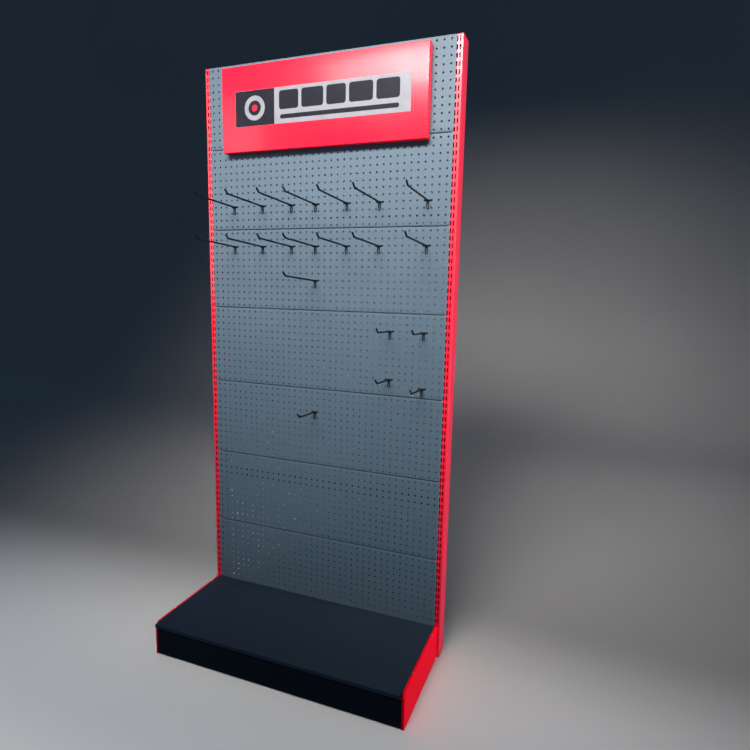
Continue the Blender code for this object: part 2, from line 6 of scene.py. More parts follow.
import bmesh
import bpy
from mathutils import Matrix, Vector
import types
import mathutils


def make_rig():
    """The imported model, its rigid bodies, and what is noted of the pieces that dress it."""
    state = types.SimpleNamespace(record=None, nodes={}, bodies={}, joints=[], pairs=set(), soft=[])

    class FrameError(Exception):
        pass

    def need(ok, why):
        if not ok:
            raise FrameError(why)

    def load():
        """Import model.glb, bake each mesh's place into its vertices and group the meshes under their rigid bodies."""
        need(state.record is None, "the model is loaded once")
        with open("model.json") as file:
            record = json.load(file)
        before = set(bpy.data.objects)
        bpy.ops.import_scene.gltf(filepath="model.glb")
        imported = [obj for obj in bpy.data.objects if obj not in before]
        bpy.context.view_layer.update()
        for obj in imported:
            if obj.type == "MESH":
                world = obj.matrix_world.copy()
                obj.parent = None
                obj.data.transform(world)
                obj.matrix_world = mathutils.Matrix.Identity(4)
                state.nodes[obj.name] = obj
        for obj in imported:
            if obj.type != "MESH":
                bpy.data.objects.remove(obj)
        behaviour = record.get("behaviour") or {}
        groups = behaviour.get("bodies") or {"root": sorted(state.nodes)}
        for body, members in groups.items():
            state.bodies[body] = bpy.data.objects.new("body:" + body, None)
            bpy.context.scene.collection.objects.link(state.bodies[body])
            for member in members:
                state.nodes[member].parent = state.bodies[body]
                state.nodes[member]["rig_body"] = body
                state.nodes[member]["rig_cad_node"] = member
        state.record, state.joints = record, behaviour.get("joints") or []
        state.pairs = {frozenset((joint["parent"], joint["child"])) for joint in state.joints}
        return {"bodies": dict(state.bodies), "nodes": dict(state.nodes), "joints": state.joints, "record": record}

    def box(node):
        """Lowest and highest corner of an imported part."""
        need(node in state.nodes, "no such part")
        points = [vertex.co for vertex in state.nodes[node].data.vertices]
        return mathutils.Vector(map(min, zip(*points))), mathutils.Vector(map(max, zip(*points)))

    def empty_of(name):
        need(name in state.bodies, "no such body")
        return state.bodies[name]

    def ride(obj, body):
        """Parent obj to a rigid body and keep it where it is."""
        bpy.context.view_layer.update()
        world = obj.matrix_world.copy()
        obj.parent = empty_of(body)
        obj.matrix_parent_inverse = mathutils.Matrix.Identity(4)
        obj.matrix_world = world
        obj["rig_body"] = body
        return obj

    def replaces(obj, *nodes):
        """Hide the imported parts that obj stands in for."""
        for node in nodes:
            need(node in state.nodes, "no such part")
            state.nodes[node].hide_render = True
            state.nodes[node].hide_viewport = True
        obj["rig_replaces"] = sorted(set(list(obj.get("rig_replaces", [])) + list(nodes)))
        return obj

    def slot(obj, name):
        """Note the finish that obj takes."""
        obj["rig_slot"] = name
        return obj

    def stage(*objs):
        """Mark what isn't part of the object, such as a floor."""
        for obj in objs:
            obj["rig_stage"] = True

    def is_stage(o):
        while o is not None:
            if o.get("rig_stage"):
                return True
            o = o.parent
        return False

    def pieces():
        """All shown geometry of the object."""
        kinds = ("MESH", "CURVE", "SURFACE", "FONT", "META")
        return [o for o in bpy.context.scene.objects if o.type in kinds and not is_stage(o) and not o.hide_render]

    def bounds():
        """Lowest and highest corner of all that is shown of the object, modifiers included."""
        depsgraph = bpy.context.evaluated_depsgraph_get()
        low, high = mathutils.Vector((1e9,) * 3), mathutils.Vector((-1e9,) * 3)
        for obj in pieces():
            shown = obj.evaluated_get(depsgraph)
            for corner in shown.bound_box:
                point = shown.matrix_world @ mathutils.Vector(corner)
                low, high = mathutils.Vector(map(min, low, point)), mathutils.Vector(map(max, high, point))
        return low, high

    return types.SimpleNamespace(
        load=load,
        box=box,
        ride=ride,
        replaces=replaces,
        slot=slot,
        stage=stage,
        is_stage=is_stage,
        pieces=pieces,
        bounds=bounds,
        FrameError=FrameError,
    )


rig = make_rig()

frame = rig.load()

# Sizes of the stand, in metres. The middle of its footprint is the origin, and its front is -Y.

HOLE_PITCH = 0.025
COLUMNS = 38
ROWS = 12
HOLE_RADIUS = 0.0035
HOLE_SIDES = 20
PANEL_COUNT = 7
PANEL_HEIGHT = ROWS * HOLE_PITCH
PANEL_HALF = 0.4784
PANEL_Y = 0.1635
STAND_TOP = 2.190
SLOT_ROWS = 87
SLOT_HALF = (0.0024, 0.0084)
SLOT_DROP = 0.002
HAIR = 0.0001


def note_size(label):
    low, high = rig.bounds()
    try:
        with open("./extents.json") as kept:
            sizes = json.load(kept)
    except (OSError, ValueError):
        sizes = {}
    sizes[label] = [[float(v) for v in low], [float(v) for v in high]]
    with open("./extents.json", "w") as out:
        json.dump(sizes, out)


note_size("frame")

# Finishes


class Shading:
    """A node material under construction."""

    def __init__(self, name):
        self.material = bpy.data.materials.new(name)
        self.material.use_nodes = True
        self.tree = self.material.node_tree
        self.shader = self.tree.nodes["Principled BSDF"]
        self.place = self.add("ShaderNodeTexCoord").outputs["Object"]

    def add(self, kind, **settings):
        made = self.tree.nodes.new(kind)
        for key, value in settings.items():
            setattr(made, key, value)
        return made

    def link(self, source, target):
        self.tree.links.new(source, target)

    def set(self, **values):
        for key, value in values.items():
            self.shader.inputs[key.replace("_", " ")].default_value = value

    def noise(self, scale, detail=2.0, rough=0.5):
        made = self.add("ShaderNodeTexNoise")
        made.inputs["Scale"].default_value = scale
        made.inputs["Detail"].default_value = detail
        made.inputs["Roughness"].default_value = rough
        self.link(self.place, made.inputs["Vector"])
        return made.outputs["Fac"]

    def spread(self, value, low, high):
        """A noise value, which lies mostly between 0.3 and 0.7, spread over low to high."""
        made = self.add("ShaderNodeMapRange")
        made.inputs["From Min"].default_value = 0.3
        made.inputs["From Max"].default_value = 0.7
        made.inputs["To Min"].default_value = low
        made.inputs["To Max"].default_value = high
        self.link(value, made.inputs["Value"])
        return made.outputs["Result"]

    def mix(self, value, first, second):
        made = self.add("ShaderNodeMix", data_type="RGBA")
        made.inputs[6].default_value = (*first, 1.0)
        made.inputs[7].default_value = (*second, 1.0)
        self.link(value, made.inputs[0])
        return made.outputs[2]

    def bump(self, value, distance, strength):
        made = self.add("ShaderNodeBump")
        made.inputs["Distance"].default_value = distance
        made.inputs["Strength"].default_value = strength
        self.link(value, made.inputs["Height"])
        self.link(made.outputs["Normal"], self.shader.inputs["Normal"])

    def colour(self, source):
        self.link(source, self.shader.inputs["Base Color"])

    def roughness(self, source):
        self.link(source, self.shader.inputs["Roughness"])


def powder_coat(name, colour, deeper, rough, shine, coat=0.0, orange_peel=0.00003):
    """Powder coat: a fine orange peel, and slow variation of tone and gloss."""
    s = Shading(name)
    s.colour(s.mix(s.spread(s.noise(3.0, 3.0), 0.0, 1.0), colour, deeper))
    s.roughness(s.spread(s.noise(9.0, 4.0, 0.6), rough - 0.03, rough + 0.05))
    s.bump(s.noise(620.0), orange_peel, 0.35)
    s.set(Coat_Weight=coat, Coat_Roughness=0.12, Specular_IOR_Level=shine)
    return s.material


def zinc():
    """Zinc plate, with small crystals of differing brightness."""
    s = Shading("zinc")
    s.colour(s.mix(s.spread(s.noise(140.0, 3.0), 0.0, 1.0), (0.56, 0.57, 0.58), (0.70, 0.70, 0.68)))
    s.roughness(s.spread(s.noise(300.0), 0.24, 0.42))
    s.set(Metallic=1.0)
    return s.material


def plain(name, colour, rough, shine, grain=0.0):
    """Plastic or print: one colour, a little uneven, with a moulded grain where one is given."""
    s = Shading(name)
    darker = tuple(c * 0.86 for c in colour)
    s.colour(s.mix(s.spread(s.noise(24.0, 3.0), 0.0, 1.0), colour, darker))
    s.roughness(s.spread(s.noise(60.0), rough - 0.04, rough + 0.05))
    s.set(Specular_IOR_Level=shine)
    if grain:
        s.bump(s.noise(900.0), grain, 0.4)
    return s.material


RED = powder_coat("red_coat", (0.86, 0.004, 0.018), (0.82, 0.003, 0.015), 0.42, 0.03)
SIGN_RED = powder_coat("gloss_red_coat", (0.80, 0.006, 0.028), (0.76, 0.005, 0.024), 0.32, 0.20, coat=0.12)
POST_RED = powder_coat(
    "post_red_coat", (0.80, 0.010, 0.034), (0.76, 0.009, 0.030), 0.38, 0.42, coat=0.30, orange_peel=0.00002
)
SLATE = powder_coat(
    "slate_coat", (0.074, 0.108, 0.138), (0.069, 0.102, 0.131), 0.46, 0.26, orange_peel=0.00002
)
BLACK = powder_coat("black_coat", (0.0160, 0.0250, 0.0390), (0.0140, 0.0220, 0.0345), 0.46, 0.18)
# Kick plate under the deck's lip: the black coat at about half its brightness, painted shade for the recess under the
# lip.
KICK_PAINTED_SHADE = powder_coat(
    "kick_coat", (0.0080, 0.0096, 0.0145), (0.0068, 0.0082, 0.0125), 0.50, 0.06, orange_peel=0.00004
)
WIRE = powder_coat("wire_coat", (0.0030, 0.0034, 0.0048), (0.0024, 0.0028, 0.0040), 0.34, 0.16)
# Inside of the upright's tube and its slot edges: the red coat at less than half its brightness, painted shade for the
# hollow.
TUBE_INSIDE_PAINTED_SHADE = powder_coat(
    "tube_inside", (0.34, 0.004, 0.012), (0.30, 0.003, 0.010), 0.60, 0.15, orange_peel=0.00004
)
ZINC = zinc()
CAP = plain("red_plastic", (0.66, 0.008, 0.026), 0.42, 0.3, grain=0.00003)
PAPER = plain("label_white", (0.225, 0.218, 0.240), 0.34, 0.14)
INK = plain("label_ink", (0.014, 0.014, 0.020), 0.34, 0.05)

# Outlines and paths


def cell_corners(low, high):
    return [(low[0], low[1]), (high[0], low[1]), (high[0], high[1]), (low[0], high[1])]


def round_hole(x, z, radius, sides):
    turn = [2 * math.pi * (k + 0.5) / sides for k in range(sides)]
    return [(x + radius * math.cos(a), z + radius * math.sin(a)) for a in turn]


def long_hole(x, z, half, sides):
    """A slot with rounded ends, as a ring of points."""
    radius = half[0]
    lift = half[1] - radius
    arc = [math.pi * k / sides for k in range(sides + 1)]
    top = [(x + radius * math.cos(a), z + lift + radius * math.sin(a)) for a in arc]
    bottom = [(x - radius * math.cos(a), z - lift - radius * math.sin(a)) for a in arc]
    return top + bottom


def rounded_rectangle(low, high, radius, steps):
    """The ring of a rectangle with an arc at each corner, from its lower right."""
    ring = []
    for x, y, start in (
        (high[0] - radius, low[1] + radius, -90),
        (high[0] - radius, high[1] - radius, 0),
        (low[0] + radius, high[1] - radius, 90),
        (low[0] + radius, low[1] + radius, 180),
    ):
        for k in range(steps + 1):
            a = math.radians(start + 90 * k / steps)
            ring.append((x + radius * math.cos(a), y + radius * math.sin(a)))
    return ring


def arc_steps(radius, steps=5):
    """(forward, back) of each step of a quarter bend that starts flat and turns back."""
    turn = [math.pi / 2 * k / steps for k in range(steps + 1)]
    return [(radius * math.sin(a), radius * (1 - math.cos(a))) for a in turn]


def bent_path(corners, radius, steps):
    """The points of a path with an arc in place of each corner."""
    points = [Vector(corners[0])]
    for before, corner, after in zip(corners, corners[1:], corners[2:]):
        corner = Vector(corner)
        towards = (Vector(before) - corner).normalized()
        away = (Vector(after) - corner).normalized()
        half = towards.angle(away) / 2
        centre = corner + (towards + away).normalized() * radius / math.sin(half)
        first = (corner + towards * radius / math.tan(half) - centre).normalized()
        last = (corner + away * radius / math.tan(half) - centre).normalized()
        points += [centre + radius * first.slerp(last, k / steps) for k in range(steps + 1)]
    return points + [Vector(corners[-1])]


def bent_profile(corners, radius, steps):
    """The (y, z) points of a bent path in the plane of Y and Z."""
    points = bent_path([(0.0, *corner) for corner in corners], radius, steps)
    return [(point.y, point.z) for point in points]


def set_in(path, depth):
    """The (y, z) path moved sideways by a depth, with its corners mitred."""
    moved = []
    for k, (y, z) in enumerate(path):
        sides = []
        for first, second in ((k - 1, k), (k, k + 1)):
            if first >= 0 and second < len(path):
                step = Vector((path[second][0] - path[first][0], path[second][1] - path[first][1]))
                step.normalize()
                sides.append(Vector((-step.y, step.x)))
        middle = sum(sides, Vector((0, 0))).normalized()
        reach = depth / middle.dot(sides[0])
        moved.append((y + middle.x * reach, z + middle.y * reach))
    return moved


# Faces and objects


def plain_cell(solid, place, low, high):
    solid.faces.new([solid.verts.new(place(*corner)) for corner in cell_corners(low, high)])


def pierced_cell(solid, place, low, high, ring):
    """The faces between a rectangle from low to high and the closed ring of a hole inside it."""
    corners = cell_corners(low, high)
    cell_middle = ((low[0] + high[0]) / 2, (low[1] + high[1]) / 2)
    hole_middle = (sum(p[0] for p in ring) / len(ring), sum(p[1] for p in ring) / len(ring))

    def bearing(point, middle):
        return math.atan2(point[1] - middle[1], point[0] - middle[0])

    hole = sorted(ring, key=lambda point: bearing(point, hole_middle))
    bearings = [bearing(point, hole_middle) for point in hole]
    hole_verts = [solid.verts.new(place(*point)) for point in hole]
    corner_verts = [solid.verts.new(place(*corner)) for corner in corners]
    starts = []
    for corner in corners:
        aim = bearing(corner, cell_middle)
        gaps = [abs((a - aim + math.pi) % (2 * math.pi) - math.pi) for a in bearings]
        starts.append(gaps.index(min(gaps)))
    count = len(hole)
    for k in range(4):
        start = starts[k]
        steps = (starts[(k + 1) % 4] - start) % count
        run = [hole_verts[(start + i) % count] for i in range(steps + 1)]
        half = steps // 2
        first, second = corner_verts[k], corner_verts[(k + 1) % 4]
        for i in range(half):
            solid.faces.new((first, run[i + 1], run[i]))
        solid.faces.new((first, second, run[half]))
        for i in range(half, steps):
            solid.faces.new((second, run[i + 1], run[i]))


def strips(solid, *rows):
    """Faces between each row of points and the next, which has as many."""
    for row, next_row in zip(rows, rows[1:]):
        a = [solid.verts.new(p) for p in row]
        b = [solid.verts.new(p) for p in next_row]
        for k in range(len(a) - 1):
            solid.faces.new((a[k], a[k + 1], b[k + 1], b[k]))


def add_block(solid, low, high):
    low, high = Vector(low), Vector(high)
    made = bmesh.ops.create_cube(solid, size=1.0)["verts"]
    size = Matrix.Diagonal((*(high - low), 1.0))
    bmesh.ops.transform(solid, matrix=Matrix.Translation((low + high) / 2) @ size, verts=made)


def face_out(solid, centre, level=False):
    """Turns each face away from a point inside the shape, or with level, from the upright line there."""
    solid.normal_update()
    inward = []
    for face in solid.faces:
        away = face.calc_center_median() - Vector(centre)
        if level:
            away.z = 0.0
        if face.normal.dot(away) < 0:
            inward.append(face)
    bmesh.ops.reverse_faces(solid, faces=inward)


def mark_edges(solid):
    """Smooth faces that meet at under 35 degrees, with hard edges elsewhere and round each opening."""
    limit = math.radians(35)
    for face in solid.faces:
        face.smooth = True
    for edge in solid.edges:
        edge.smooth = len(edge.link_faces) == 2 and edge.calc_face_angle(0.0) < limit


def new_object(name, mesh, materials):
    obj = bpy.data.objects.new(name, mesh)
    bpy.context.scene.collection.objects.link(obj)
    for material in materials:
        mesh.materials.append(material)
    return obj


def finish_mesh(solid, name, materials, thickness=0.0, weld=2e-5):
    """Makes an object of the faces, welded, with the sheet's thickness added behind them.
    A second material goes on the far side of the sheet and on its cut edges."""
    bmesh.ops.remove_doubles(solid, verts=solid.verts, dist=weld)
    mark_edges(solid)
    mesh = bpy.data.meshes.new(name)
    solid.to_mesh(mesh)
    solid.free()
    obj = new_object(name, mesh, materials)
    if thickness:
        sheet = obj.modifiers.new("sheet", "SOLIDIFY")
        sheet.thickness = thickness
        sheet.offset = -1.0
        sheet.material_offset = len(materials) - 1
        sheet.material_offset_rim = len(materials) - 1
    return obj


def as_part(obj, body, nodes, slot):
    """Puts an object on a body, in a material slot, in place of CAD nodes where it shows them better."""
    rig.ride(obj, body)
    if nodes:
        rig.replaces(obj, *nodes)
    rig.slot(obj, slot)


def formed_box(name, low, high, radius, thickness, material, lips=0.0, steps=4):
    """A box of sheet metal with round bends, open at the rear. Lips turn in round the opening."""
    solid = bmesh.new()
    add_block(solid, low, high)
    back = max(solid.faces, key=lambda f: f.calc_center_median().y)
    rim = set(back.edges)
    bent = [e for e in solid.edges if lips or e not in rim]
    bmesh.ops.bevel(solid, geom=bent, offset=radius, segments=steps, profile=0.5, affect="EDGES")
    back = max((f for f in solid.faces if f.normal.y > 0.999), key=lambda f: f.calc_area())
    if lips:
        bmesh.ops.inset_region(solid, faces=[back], thickness=lips, use_even_offset=True)
    bmesh.ops.delete(solid, geom=[back], context="FACES_ONLY")
    return finish_mesh(solid, name, [material], thickness)


def profile_sheet(name, corners, radius, half, thickness, material):
    """A sheet folded along X, from the (y, z) corners of its outer face, with round bends."""
    spans = 24
    xs = [half * (2 * k / spans - 1) for k in range(spans + 1)]
    solid = bmesh.new()
    strips(solid, *([(x, y, z) for x in xs] for y, z in bent_profile(corners, radius, 5)))
    middle_y = (corners[1][0] + corners[2][0]) / 2
    middle_z = (corners[2][1] + corners[3][1]) / 2
    face_out(solid, (0.0, middle_y, middle_z))
    return finish_mesh(solid, name, [material], thickness)


def blocks(name, boxes, material, ease):
    """Square blocks as one object, with eased edges."""
    solid = bmesh.new()
    for low, high in boxes:
        add_block(solid, low, high)
    bmesh.ops.bevel(solid, geom=list(solid.edges), offset=ease, segments=2, profile=0.5, affect="EDGES")
    return finish_mesh(solid, name, [material], weld=1e-6)


# Panels, uprights and base


def make_panel(number):
    """A perforated panel: a skin with round holes, bent back at the top, bottom and sides."""
    low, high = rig.box(f"back_panel_{number}")
    bottom, top, rear = low[2] + HAIR, high[2] - HAIR, high[1] - HAIR
    top_bend, side_bend, bottom_bend = 0.0018, 0.0016, 0.0060
    flat_half = PANEL_HALF - side_bend
    flange_half = 0.4676
    solid = bmesh.new()

    def face(x, z):
        return (x, PANEL_Y, z)

    edges_x = [HOLE_PITCH * (c - COLUMNS / 2) for c in range(COLUMNS + 1)]
    edges_x = [-flat_half, *edges_x, flat_half]
    top_row = STAND_TOP - PANEL_HEIGHT * (number - 1)
    edges_z = [top_row - HOLE_PITCH * r for r in range(ROWS + 1)]
    edges_z[0], edges_z[-1] = top - top_bend, bottom + bottom_bend
    for row in range(ROWS):
        z1, z0 = edges_z[row], edges_z[row + 1]
        z = top_row - HOLE_PITCH * (row + 0.5)
        for x0, x1 in zip(edges_x[1:], edges_x[2:-1]):
            hole = round_hole((x0 + x1) / 2, z, HOLE_RADIUS, HOLE_SIDES)
            pierced_cell(solid, face, (x0, z0), (x1, z1), hole)
        plain_cell(solid, face, (edges_x[0], z0), (edges_x[1], z1))
        plain_cell(solid, face, (edges_x[-2], z0), (edges_x[-1], z1))
    run = [-flange_half, *(x for x in edges_x if abs(x) < flange_half), flange_half]
    for side, edge, bend in ((1, top, top_bend), (-1, bottom, bottom_bend)):
        start = edge - side * bend
        rows = [[(x, PANEL_Y + back, start + side * out) for x in edges_x] for out, back in arc_steps(bend)]
        strips(solid, *rows)
        strips(solid, [(x, PANEL_Y + bend, edge) for x in run], [(x, rear, edge) for x in run])
    bend_steps = [(flat_half + out, PANEL_Y + back) for out, back in arc_steps(side_bend)]
    for side in (1, -1):
        strips(solid, *([(side * x, y, z) for z in edges_z] for x, y in bend_steps))
    face_out(solid, (0.0, PANEL_Y + 0.02, (bottom + top) / 2))
    obj = finish_mesh(solid, f"panel_skin_{number}", [SLATE], 0.001)
    as_part(obj, "frame", [f"back_panel_{number}"], "slate_powder_coat")


def make_upright(word):
    """A slotted upright: a tube with rounded corners and two columns of slots in its front wall."""
    low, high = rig.box(f"upright_{word}")
    x0, x1 = low[0] + HAIR / 2, high[0] - HAIR / 2
    y0, y1 = low[1] + HAIR / 2, high[1] - HAIR / 2
    corner = 0.0025
    half_cell = 0.00475
    centre = (x0 + x1) / 2
    edges = [x0 + corner, centre - 2 * half_cell, centre, centre + 2 * half_cell, x1 - corner]
    solid = bmesh.new()

    def face(x, z):
        return (x, y0, z)

    levels = [STAND_TOP - HOLE_PITCH * r - SLOT_DROP for r in range(SLOT_ROWS + 1)]
    levels[0] = high[2] - HAIR
    for row in range(SLOT_ROWS):
        z1, z0 = levels[row], levels[row + 1]
        z = STAND_TOP - HOLE_PITCH * (row + 0.5) - SLOT_DROP
        for cell, slot_x in ((1, centre - half_cell), (2, centre + half_cell)):
            slot = long_hole(slot_x, z, SLOT_HALF, 4)
            pierced_cell(solid, face, (edges[cell], z0), (edges[cell + 1], z1), slot)
        plain_cell(solid, face, (edges[0], z0), (edges[1], z1))
        plain_cell(solid, face, (edges[3], z0), (edges[4], z1))
    foot = low[2] + HAIR
    for a, b in zip(edges, edges[1:]):
        plain_cell(solid, face, (a, foot), (b, levels[-1]))
    z_run = [foot, *reversed(levels)]
    strips(solid, *([(x, y, z) for z in z_run] for x, y in rounded_rectangle((x0, y0), (x1, y1), corner, 5)))
    face_out(solid, (centre, (y0 + y1) / 2, 0.0), level=True)
    # The inside of the tube and the slot edges take the darker red, a painted shade that makes the slots read dark.
    obj = finish_mesh(solid, f"slotted_upright_{word}", [POST_RED, TUBE_INSIDE_PAINTED_SHADE], 0.0012)
    as_part(obj, "frame", [f"upright_{word}"], "red_powder_coat")


def make_bracket(word, side):
    """A folded bracket: a side plate whose flange runs along its top, cut corner and front."""
    low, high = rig.box(f"base_bracket_{word}")
    front, foot, top = low[1] + HAIR, low[2] + HAIR, high[2] - HAIR
    rear = 0.1660
    outer, inner, bend = 0.4913, 0.4816, 0.0040
    corner_cut = (0.0145, 0.0165)
    outline = [(rear, top), (front + corner_cut[0], top), (front, top - corner_cut[1]), (front, foot)]
    path = bent_profile(outline, 0.0060, 5)
    path.insert(1, (rear - 0.20, top))
    section = [(inner, 0.0), *((outer - bend + out, back) for out, back in arc_steps(bend, 6))]
    rows = [[(side * x, y, z) for y, z in set_in(path, depth)] for x, depth in section]
    solid = bmesh.new()
    strips(solid, *rows)
    plate = [*rows[-1][:-1], (side * outer, rows[-1][-1][1], foot), (side * outer, rear, foot)]
    solid.faces.new([solid.verts.new(point) for point in plate])
    solid.normal_update()
    bmesh.ops.remove_doubles(solid, verts=solid.verts, dist=2e-5)
    bmesh.ops.recalc_face_normals(solid, faces=solid.faces)
    side_face = max(solid.faces, key=lambda f: f.calc_area())
    if side_face.normal.x * side < 0:
        bmesh.ops.reverse_faces(solid, faces=solid.faces)
    obj = finish_mesh(solid, f"bracket_side_{word}", [RED], 0.0016)
    as_part(obj, "frame", [f"base_bracket_{word}"], "red_powder_coat")
    make_bracket_folds(word, side, front)


def make_bracket_folds(word, side, front):
    """The bracket's inner folds and the lugs that hook into the upright, measured on the right."""
    ledge = ((0.4631, front + 0.0160, 0.1268), (0.4829, 0.1590, 0.1281))
    ledge_step = ((0.4816, front + 0.0150, 0.1274), (0.4830, 0.1610, 0.1290))
    lower_flange = ((0.4521, front + 0.0185, 0.0140), (0.4899, 0.1650, 0.0160))
    front_return = ((0.4521, front + 0.0010, 0.0051), (0.4899, front + 0.0178, 0.0060))
    boxes = [ledge, ledge_step, lower_flange, front_return]
    lug_x = (0.4896, 0.4913)
    lug_rear = 0.1717
    for row in (83, 84, 85):
        rest = STAND_TOP - HOLE_PITCH * (row + 0.5) - SLOT_DROP - 0.0077
        boxes.append(((lug_x[0], 0.1645, rest), (lug_x[1], lug_rear, rest + 0.0136)))
        boxes.append(((lug_x[0], 0.1690, rest - 0.0044), (lug_x[1], lug_rear, rest + 0.0020)))
    placed = []
    for low, high in boxes:
        x0, x1 = sorted((side * low[0], side * high[0]))
        placed.append(((x0, *low[1:]), (x1, *high[1:])))
    folds = blocks(f"bracket_folds_{word}", placed, RED, 0.0003)
    as_part(folds, "frame", [], "red_powder_coat")


def make_shelf():
    """The deck, with a short fold down at the rear and a lip folded under at the front."""
    low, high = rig.box("base_shelf")
    front, rear, top = low[1] + HAIR, high[1] - HAIR, high[2]
    lip, rear_fold, return_fold = 0.0150, 0.0210, 0.0120
    corners = [
        (rear, top - rear_fold),
        (rear, top),
        (front, top),
        (front, top - lip),
        (low[1] + return_fold, top - lip),
    ]
    shelf = profile_sheet("shelf_deck", corners, 0.0024, 0.4798, 0.0014, BLACK)
    as_part(shelf, "shelf", ["base_shelf"], "black_powder_coat")


def make_kick_plate():
    # The kick plate takes the darker black, a painted shade under the deck's lip.
    kick = formed_box("kick_front", *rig.box("kick_plate"), 0.0016, 0.0012, KICK_PAINTED_SHADE)
    as_part(kick, "kick", ["kick_plate"], "black_powder_coat")


# Sign


def make_sign():
    sign = formed_box("sign_face", *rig.box("sign_tray"), 0.0022, 0.0012, SIGN_RED, lips=0.016)
    as_part(sign, "sign", ["sign_tray"], "red_powder_coat")
    low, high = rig.box("sign_label")
    label = formed_box("label_sheet", (low[0], low[1] + 0.0003, low[2]), high, 0.0002, 0.0, PAPER, steps=1)
    as_part(label, "sign", ["sign_label"], "printed_label")
    make_label_graphic(low, high)


def make_label_graphic(low, high):
    """A plain graphic: a dark square with a ring and dot in it, five blocks, and a line under them."""
    middle_z = (low[2] + high[2]) / 2
    edge = 0.0005
    ink_block("label_mark", low, (low[0] + edge, low[2] + edge), (low[0] + 0.164, high[2] - edge), edge)
    block_bottom, block_top, block_gap = middle_z - 0.014, middle_z + 0.050, 0.012
    x = low[0] + 0.184
    for number, width in enumerate((0.078, 0.086, 0.074, 0.088, 0.084), start=1):
        ink_block(f"label_block_{number}", low, (x, block_bottom), (x + width, block_top), 0.010)
        x += width + block_gap
    line_start = (low[0] + 0.188, middle_z - 0.046)
    line_end = (high[0] - 0.040, middle_z - 0.031)
    ink_block("label_line", low, line_start, line_end, 0.0074)
    ring_centre = (low[0] + 0.082, low[1] + 0.00005, middle_z)
    label_disc("label_ring", ring_centre, 0.026, 0.043, PAPER)
    label_disc("label_dot", ring_centre, 0.0, 0.011, SIGN_RED)


def on_label(obj):
    as_part(obj, "sign", [], "printed_label")


def ink_block(name, label_low, low, high, corner):
    """A printed area from (x, z) low to high with rounded corners, a hair in front of the label."""
    y = label_low[1] + HAIR
    solid = bmesh.new()
    ring = rounded_rectangle(low, high, corner, 6)
    solid.faces.new([solid.verts.new((x, y, z)) for x, z in ring])
    solid.normal_update()
    face_out(solid, (low[0], y + 0.1, low[1]))
    mesh = bpy.data.meshes.new(name)
    solid.to_mesh(mesh)
    solid.free()
    on_label(new_object(name, mesh, [INK]))


def label_disc(name, centre, inner, outer, material):
    """A printed ring, or a disc when its inner radius is 0."""
    turn = [2 * math.pi * k / 48 for k in range(49)]
    x, y, z = centre
    solid = bmesh.new()
    strips(solid, *([(x + r * math.cos(a), y, z + r * math.sin(a)) for a in turn] for r in (inner, outer)))
    bmesh.ops.remove_doubles(solid, verts=solid.verts, dist=1e-6)
    face_out(solid, (x, y + 0.1, z))
    on_label(finish_mesh(solid, name, [material], weld=1e-6))


# Wire hooks


def sweep(solid, points, radius, sides, round_start=False, round_end=False):
    """A round wire along the points, with flat or rounded ends."""
    last = len(points) - 1
    tangents = []
    for k in range(last + 1):
        tangents.append((points[min(k + 1, last)] - points[max(k - 1, 0)]).normalized())
    up = Vector((0, 0, 1)) if abs(tangents[0].z) < 0.9 else Vector((1, 0, 0))
    normal = (up - tangents[0] * up.dot(tangents[0])).normalized()
    dome = [(math.sin(a), math.cos(a)) for a in (math.radians(d) for d in (22, 45, 66))]
    stations = []
    if round_start:
        for out, across in reversed(dome):
            stations.append((points[0] - tangents[0] * radius * out, tangents[0], radius * across))
    for point, tangent in zip(points, tangents):
        stations.append((point, tangent, radius))
    if round_end:
        for out, across in dome:
            stations.append((points[-1] + tangents[-1] * radius * out, tangents[-1], radius * across))
    rings = []
    for point, tangent, size in stations:
        normal = (normal - tangent * normal.dot(tangent)).normalized()
        side = tangent.cross(normal)
        ring = []
        for k in range(sides):
            a = 2 * math.pi * k / sides
            ring.append(solid.verts.new(point + size * (math.cos(a) * normal + math.sin(a) * side)))
        rings.append(ring)
    for first, second in zip(rings, rings[1:]):
        for k in range(sides):
            n = (k + 1) % sides
            solid.faces.new((first[k], first[n], second[n], second[k]))
    solid.faces.new(list(reversed(rings[0])))
    solid.faces.new(rings[-1])


def hook_mesh(name, elbow, tip):
    """A wire hook about its hinge line: the bar with its prongs, a thinner looped leg and the welded arm.
    The elbow and the tip are (y, z) corners of the arm."""
    solid = bmesh.new()
    bar_y = -0.0031
    prong_x, prong_y, prong_z = HOLE_PITCH / 2, 0.0054, 0.0086
    prong = [(prong_x, prong_y, prong_z), (prong_x, prong_y, 0.0), (prong_x, bar_y, 0.0)]
    bar = [(-x, y, z) for x, y, z in prong] + list(reversed(prong))
    sweep(solid, bent_path(bar, 0.0026, 5), 0.0024, 12)
    leg_half, leg_drop = 0.0034, 0.0275
    turn = [math.radians(180 + 18 * k) for k in range(11)]
    loop_z = leg_half - leg_drop
    loop = [Vector((leg_half * math.cos(a), bar_y, loop_z + leg_half * math.sin(a))) for a in turn]
    sweep(solid, [Vector((-leg_half, bar_y, 0.0)), *loop, Vector((leg_half, bar_y, 0.0))], 0.0013, 12)
    arm_y = bar_y - 0.0008
    arm = bent_path([(0.0, arm_y, -0.001), (0.0, *elbow), (0.0, *tip)], 0.0075, 8)
    sweep(solid, arm, 0.0032, 16, round_end=True)
    for x in (-0.0021, 0.0021):
        weld_bead = [Vector((x, arm_y + 0.0004, -0.0046 + 0.0009 * k)) for k in range(6)]
        sweep(solid, weld_bead, 0.0013, 10, round_start=True, round_end=True)
    mesh = bpy.data.meshes.new(name)
    bmesh.ops.recalc_face_normals(solid, faces=solid.faces)
    solid.to_mesh(mesh)
    solid.free()
    mesh.shade_smooth()
    mesh.set_sharp_from_angle(angle=math.radians(50))
    mesh.materials.append(WIRE)
    return mesh


